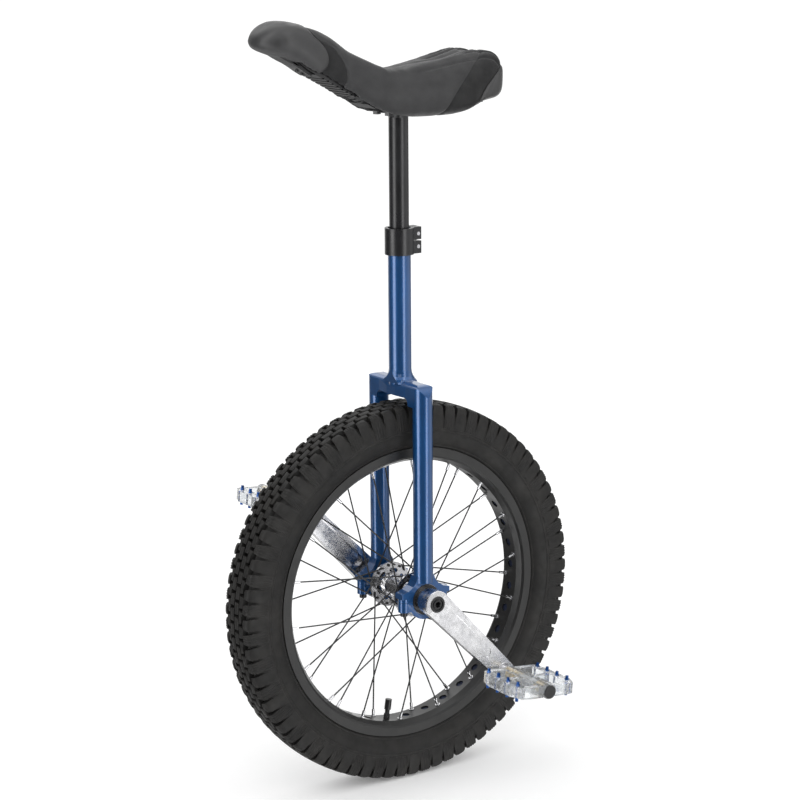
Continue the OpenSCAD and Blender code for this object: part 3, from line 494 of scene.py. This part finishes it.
# seams seen from the side, (x, height above the lowest edge) in mm, each from the top down
SEAMS = {
    "nose": [(153, 135), (147, 110), (138, 100), (130, 90), (125.5, 79), (125.5, 69), (130, 62), (144, 39)],
    "front": [(149, 135), (139, 105.5), (124, 97), (114, 90), (106, 79), (100.5, 69), (98, 57), (100, 43),
              (112, 26)],
    "rear": [(-126, 91), (-106, 79), (-90, 68), (-76, 56), (-64, 44), (-52, 30), (-43, 17.5), (-37, 4),
             (-34, -12)],
    "tail": [(-170, 68), (-136, 58), (-117, 49), (-100, 36), (-90, 24), (-87, 14), (-86, -12)],
}
SWELL = 4.2 * MM          # how far the cloth simulation may move a point
SEAM_DEPTH = 1.5 * MM
BUMPER_PROUD = 0.8 * MM   # how far the nose and tail bumpers stand out from the cloth
FAR = 0.35                # reach of the cutting blocks beyond the saddle


def seam_line(points):
    """A seam's points in metres as rows of (x, z), with its corners rounded by a smooth curve."""
    p = np.array([(x * MM, SADDLE_Z + z * MM) for x, z in points])
    rows = []
    for i in range(len(p) - 1):
        a, b = p[max(i - 1, 0)], p[min(i + 2, len(p) - 1)]
        for t in np.linspace(0, 1, 6, endpoint=False):
            s = 1 - t
            rows.append(p[i] * (1 + 2 * t) * s * s + p[i + 1] * t * t * (3 - 2 * t)
                        + t * s * ((p[i + 1] - a) / 2 * s - (b - p[i]) / 2 * t))
    return np.array(rows + [p[-1]])


def line_distance(points, line):
    """Distance of each point from a seam, both seen from the side."""
    flat = points[:, [0, 2]]
    best = np.full(len(flat), 1.0)
    for a, b in zip(line[:-1], line[1:]):
        d = b - a
        t = np.clip(((flat - a) @ d) / (d @ d), 0, 1)
        best = np.minimum(best, np.linalg.norm(flat - a - t[:, None] * d, axis=1))
    return best


def joined_copy(nodes, name):
    """One new object with the meshes of several CAD nodes."""
    bm = bmesh.new()
    for n in nodes:
        bm.from_mesh(NODES[n].data)
    mesh = bpy.data.meshes.new(name)
    bm.to_mesh(mesh)
    bm.free()
    obj = bpy.data.objects.new(name, mesh)
    bpy.context.scene.collection.objects.link(obj)
    return obj


def padded_form():
    """The saddle's cover and foam as one padded closed form, inflated by a short cloth simulation."""
    obj = joined_copy(SADDLE, "saddle_form")
    remesh = obj.modifiers.new("remesh", "REMESH")
    remesh.mode = "VOXEL"
    remesh.voxel_size = 4 * MM
    bake_modifiers(obj)
    keep_outside(obj)
    facing = normals_of(obj.data)
    points = points_of(obj.data)
    # pulled in before it swells: most on top, least under the edge and at the nose
    pull = 2.8 - 3.2 * np.clip(0.3 - facing[:, 2], 0, 1)
    pull -= 2.2 * np.clip((points[:, 0] / MM - 120) / 40, 0, 1)
    start = points - facing * pull[:, None] * MM
    put_points(obj.data, start)
    inflate(obj, start, SWELL)
    soften = obj.modifiers.new("soften", "SMOOTH")
    soften.iterations = 4
    soften.factor = 0.5
    sub = obj.modifiers.new("sub", "SUBSURF")
    sub.levels = sub.render_levels = 1
    bake_modifiers(obj)
    return obj


def keep_outside(obj):
    """Keeps the largest connected shell of a remeshed form, which drops any cavity inside it."""
    bm = bmesh.new()
    bm.from_mesh(obj.data)
    left, shells = set(bm.verts), []
    while left:
        stack, shell = [left.pop()], []
        while stack:
            v = stack.pop()
            shell.append(v)
            for e in v.link_edges:
                w = e.other_vert(v)
                if w in left:
                    left.remove(w)
                    stack.append(w)
        shells.append(shell)
    shells.sort(key=len)
    bmesh.ops.delete(bm, geom=[v for shell in shells[:-1] for v in shell], context="VERTS")
    bm.to_mesh(obj.data)
    bm.free()


def inflate(obj, start, cap):
    """Blows the form up as cloth under pressure. No point moves further than cap."""
    cloth = obj.modifiers.new("cloth", "CLOTH")
    cloth.settings.use_pressure = True
    cloth.settings.uniform_pressure_force = 4.0
    cloth.settings.effector_weights.gravity = 0.0
    cloth.settings.quality = 5
    cloth.point_cache.frame_start, cloth.point_cache.frame_end = 1, 20
    scene = bpy.context.scene
    for number in range(1, 21):
        scene.frame_set(number)
    bake_modifiers(obj)
    scene.frame_set(1)
    moved = points_of(obj.data) - start
    length = np.linalg.norm(moved, axis=1, keepdims=True)
    put_points(obj.data, start + moved * np.minimum(1.0, cap / np.maximum(length, 1e-9)))


def prism(line, closing, name):
    """A closed block across the saddle, bounded by a seam and the corners in closing as (x, z)."""
    outline = list(map(tuple, line)) + closing
    n, w = len(outline), 0.15
    verts = [(x, -w, z) for x, z in outline] + [(x, w, z) for x, z in outline]
    faces = [(j, (j + 1) % n, n + (j + 1) % n, n + j) for j in range(n)]
    faces += [tuple(range(n - 1, -1, -1)), tuple(range(n, 2 * n))]
    return new_object(name, verts, faces)


def cut(obj, tool, operation):
    """Exact boolean with another object."""
    mod = obj.modifiers.new("cut", "BOOLEAN")
    mod.operation = operation
    mod.solver = "EXACT"
    mod.object = tool
    bake_modifiers(obj)


def crease_heights(points):
    """How far each point of the saddle is pushed in by its sewn channels and grooves."""
    x, y = points[:, 0] / MM, np.abs(points[:, 1]) / MM
    z = points[:, 2] / MM
    top = np.clip((z - (SADDLE_Z / MM + 50)) / 12, 0, 1)
    back = np.clip((10 - x) / 40, 0, 1)
    depth = 2.2 * np.exp(-(y / 5.0) ** 2) * back * top
    # edge of the top panel, from the dip to the tail
    rim = 30 + 18 * np.clip((10 - x) / 120, 0, 1)
    depth += 1.8 * np.exp(-((y - rim) / 2.0) ** 2) * back * top
    # grooves that fan out on each lobe
    for start, offset, slant in ((-38, 13, 0.06), (-58, 22, 0.1), (-76, 30, 0.14)):
        run = np.clip((start - x) / 18, 0, 1)
        depth += 1.9 * np.exp(-((y - offset - slant * (start - x)) / 1.8) ** 2) * run * top
    return depth * MM


def build_saddle():
    """Cuts the padded form along its seams into five pieces and presses the seams and creases in."""
    form = padded_form()
    mesh = form.data
    tree = KDTree(len(mesh.vertices))
    for v in mesh.vertices:
        tree.insert(v.co, v.index)
    tree.balance()
    directions = normals_of(mesh)
    lines = {name: seam_line(p) for name, p in SEAMS.items()}
    # a block ahead of the nose and front seams, behind the rear and tail seams
    tools = {name: prism(lines[name], [(far, lines[name][-1][1]), (far, lines[name][0][1])], "beyond_" + name)
             for name, far in (("nose", FAR), ("front", FAR), ("rear", -FAR), ("tail", -FAR))}
    plan = (("saddle_nose", "bumper", "nose_bumper", (("nose", "INTERSECT"),)),
            ("saddle_front_band", "band", "cover_front_band",
             (("front", "INTERSECT"), ("nose", "DIFFERENCE"))),
            ("saddle_panel", "cover", "cover_main", (("front", "DIFFERENCE"), ("rear", "DIFFERENCE"))),
            ("saddle_rear_band", "band", "cover_rear_band",
             (("rear", "INTERSECT"), ("tail", "DIFFERENCE"))),
            ("saddle_tail", "bumper", "tail_bumper", (("tail", "INTERSECT"),)))
    for name, slot, node, steps in plan:
        piece = form.copy()
        piece.data = form.data.copy()
        piece.name = piece.data.name = name
        bpy.context.scene.collection.objects.link(piece)
        for tool, operation in steps:
            cut(piece, tools[tool], operation)
        p = points_of(piece.data)
        push = np.array([directions[tree.find(Vector(q))[1]] for q in p])
        seam = np.min([line_distance(p, line) for line in lines.values()], axis=0)
        depth = SEAM_DEPTH * np.exp(-(seam / (2.2 * MM)) ** 2) + crease_heights(p)
        if slot == "bumper":
            depth = depth - BUMPER_PROUD
        put_points(piece.data, p - push * depth[:, None])
        smooth(piece, 50)
        finish_piece(piece, "seatpost", slot, *([node, "saddle_foam"] if slot == "cover" else [node]))
    for extra in (form, *tools.values()):
        bpy.data.objects.remove(extra)


build_saddle()

# ------------------------------------------------------------------------------------------- CAD pieces

# bevel on the edges of each node, in mm
ROUNDED = {"frame": 0.5, "bearing_cap_left": 0.6, "bearing_cap_right": 0.6, "seat_clamp": 0.7,
           "saddle_base": 0.8, "grab_handle": 1.6, "crank_left": 0.8, "crank_right": 0.8, "hub": 0.4,
           "crank_bolts": 0.35, "cap_bolts": 0.35, "clamp_bolts": 0.3, "pedal_left": 0.9, "pedal_right": 0.9,
           "valve_cap": 0.4, "end_cap_left": 0.5, "end_cap_right": 0.5}
for node_name, cad in NODES.items():
    coat_with(cad, SLOT_OF[node_name])
    if node_name in ROUNDED:
        bevel = cad.modifiers.new("edges", "BEVEL")
        bevel.width = ROUNDED[node_name] * MM
        bevel.segments = 2
        bevel.limit_method = "ANGLE"
        bevel.angle_limit = math.radians(38)
        bevel.harden_normals = False
        bevel.use_clamp_overlap = True

# ------------------------------------------------------------------------------------------- studio


# upright soft boxes that reflections see: (azimuth, half width at full strength, half width, strength)
STRIPES = ((1, 8, 18, 4.2), (100, 7, 13, 3.6), (143, 18, 52, 0.75), (-135, 8, 22, 1.4), (-92, 6, 18, 1.0))
ROOM_WALL = 0.13
ROOM_CEILING = 1.1
FLOOR_REACH = 70.0


def room_glow(f, direction):
    """Brightness of the surroundings by direction: dim walls with upright soft boxes and a soft ceiling."""
    flat = f.add("ShaderNodeVectorMath", operation="MULTIPLY")
    f.join(direction, flat.inputs[0])
    flat.inputs[1].default_value = (1, 1, 0)
    level = f.add("ShaderNodeVectorMath", operation="NORMALIZE")
    f.join(flat.outputs[0], level.inputs[0])
    total = ROOM_WALL
    for azimuth, full, foot, power in STRIPES:
        dot = f.add("ShaderNodeVectorMath", operation="DOT_PRODUCT")
        f.join(level.outputs[0], dot.inputs[0])
        dot.inputs[1].default_value = (math.cos(math.radians(azimuth)), math.sin(math.radians(azimuth)), 0)
        stripe = f.spread(dot.outputs["Value"], 0.0, power, math.cos(math.radians(foot)),
                          math.cos(math.radians(full)))
        total = f.math("ADD", stripe, total)
    split = f.add("ShaderNodeSeparateXYZ")
    f.join(direction, split.inputs[0])
    return f.math("ADD", total, f.spread(split.outputs["Z"], 0.0, ROOM_CEILING, 0.35, 0.9))


def only_reflections(f):
    """1 for a reflected ray, 0 for the camera, diffuse light and rays through clear plastic."""
    path = f.add("ShaderNodeLightPath")
    through = f.math("SUBTRACT", 1.0, path.outputs["Is Transmission Ray"])
    return f.math("MULTIPLY", path.outputs["Is Glossy Ray"], through)


def floor():
    """White floor. Reflections see the dim room in it, so the tubes stay deep blue between their streaks."""
    corners = [(x * FLOOR_REACH, y * FLOOR_REACH, 0) for x, y in ((-1, -1), (1, -1), (1, 1), (-1, 1))]
    obj = new_object("floor", corners, [(0, 1, 2, 3)])
    f = Finish("floor", 0.75)
    f.set(Base_Color=f.mix(f.spread(f.noise(3), 0, 1), (0.93, 0.93, 0.93), (0.95, 0.95, 0.95)),
          Specular_IOR_Level=0.0, Emission_Color=(1.0, 1.0, 1.0, 1.0), Emission_Strength=0.12)
    back = f.add("ShaderNodeVectorMath", operation="MULTIPLY")
    f.join(f.add("ShaderNodeNewGeometry").outputs["Incoming"], back.inputs[0])
    back.inputs[1].default_value = (-1, -1, -1)
    glow = f.add("ShaderNodeEmission")
    f.join(room_glow(f, back.outputs[0]), glow.inputs["Strength"])
    mixer = f.add("ShaderNodeMixShader")
    f.join(only_reflections(f), mixer.inputs[0])
    f.join(f.bsdf.outputs[0], mixer.inputs[1])
    f.join(glow.outputs[0], mixer.inputs[2])
    f.join(mixer.outputs[0], f.tree.nodes["Material Output"].inputs["Surface"])
    obj.data.materials.append(f.mat)


def studio_light():
    """White surroundings for the camera and diffuse light, a dim room with soft boxes for reflections."""
    world = bpy.data.worlds.new("studio")
    bpy.context.scene.world = world
    world.use_nodes = True
    f = Finish.__new__(Finish)
    f.tree = world.node_tree
    f.tree.nodes.clear()
    plain = f.add("ShaderNodeBackground")
    plain.inputs["Color"].default_value = (1, 1, 1, 1)
    plain.inputs["Strength"].default_value = 1.0
    room = f.add("ShaderNodeBackground")
    f.join(room_glow(f, f.add("ShaderNodeTexCoord").outputs["Generated"]), room.inputs["Strength"])
    mixer = f.add("ShaderNodeMixShader")
    f.join(only_reflections(f), mixer.inputs[0])
    f.join(plain.outputs[0], mixer.inputs[1])
    f.join(room.outputs[0], mixer.inputs[2])
    f.join(mixer.outputs[0], f.add("ShaderNodeOutputWorld").inputs["Surface"])


def soft_box(name, place, size, power):
    """Rectangular lamp aimed at the middle of the object."""
    light = bpy.data.lights.new(name, "AREA")
    light.shape = "RECTANGLE"
    light.size, light.size_y = size
    light.energy = power
    obj = bpy.data.objects.new(name, light)
    obj.location = place
    obj.rotation_euler = (Vector((0, 0, 0.5)) - obj.location).to_track_quat("-Z", "Y").to_euler()
    bpy.context.scene.collection.objects.link(obj)


def camera():
    """The photograph's viewpoint, found by fitting a camera to the wheel, frame and saddle."""
    azimuth, elevation, roll = (math.radians(a) for a in (146.67, 12.51, -0.41))
    centre = (Vector(cad_box[0]) + Vector(cad_box[1])) / 2
    target = Vector((-0.0079, -0.0130, centre.z + 0.0057))
    back = Vector((math.sin(azimuth) * math.cos(elevation), -math.cos(azimuth) * math.cos(elevation),
                   math.sin(elevation)))
    right = Vector((math.cos(azimuth), math.sin(azimuth), 0.0))
    up = back.cross(right)
    side = right * math.cos(roll) + up * math.sin(roll)
    top = up * math.cos(roll) - right * math.sin(roll)
    data = bpy.data.cameras.new("camera")
    data.lens = 103.0
    data.sensor_width = 36.0
    data.clip_start, data.clip_end = 0.05, 200.0
    data.shift_y = -0.00075
    obj = bpy.data.objects.new("camera", data)
    place = Matrix((side, top, back)).transposed().to_4x4()
    place.translation = target + back * 3.0538
    obj.matrix_world = place
    bpy.context.scene.collection.objects.link(obj)
    bpy.context.scene.camera = obj


floor()
studio_light()
soft_box("key_light", (2.2, 2.6, 3.2), (2.4, 2.4), 26)
soft_box("fill_light", (-3.0, 1.2, 1.8), (2.0, 2.6), 8)
soft_box("rim_light", (-0.8, -3.0, 2.6), (2.6, 1.6), 10)
camera()
bpy.context.scene.view_settings.view_transform = "Standard"
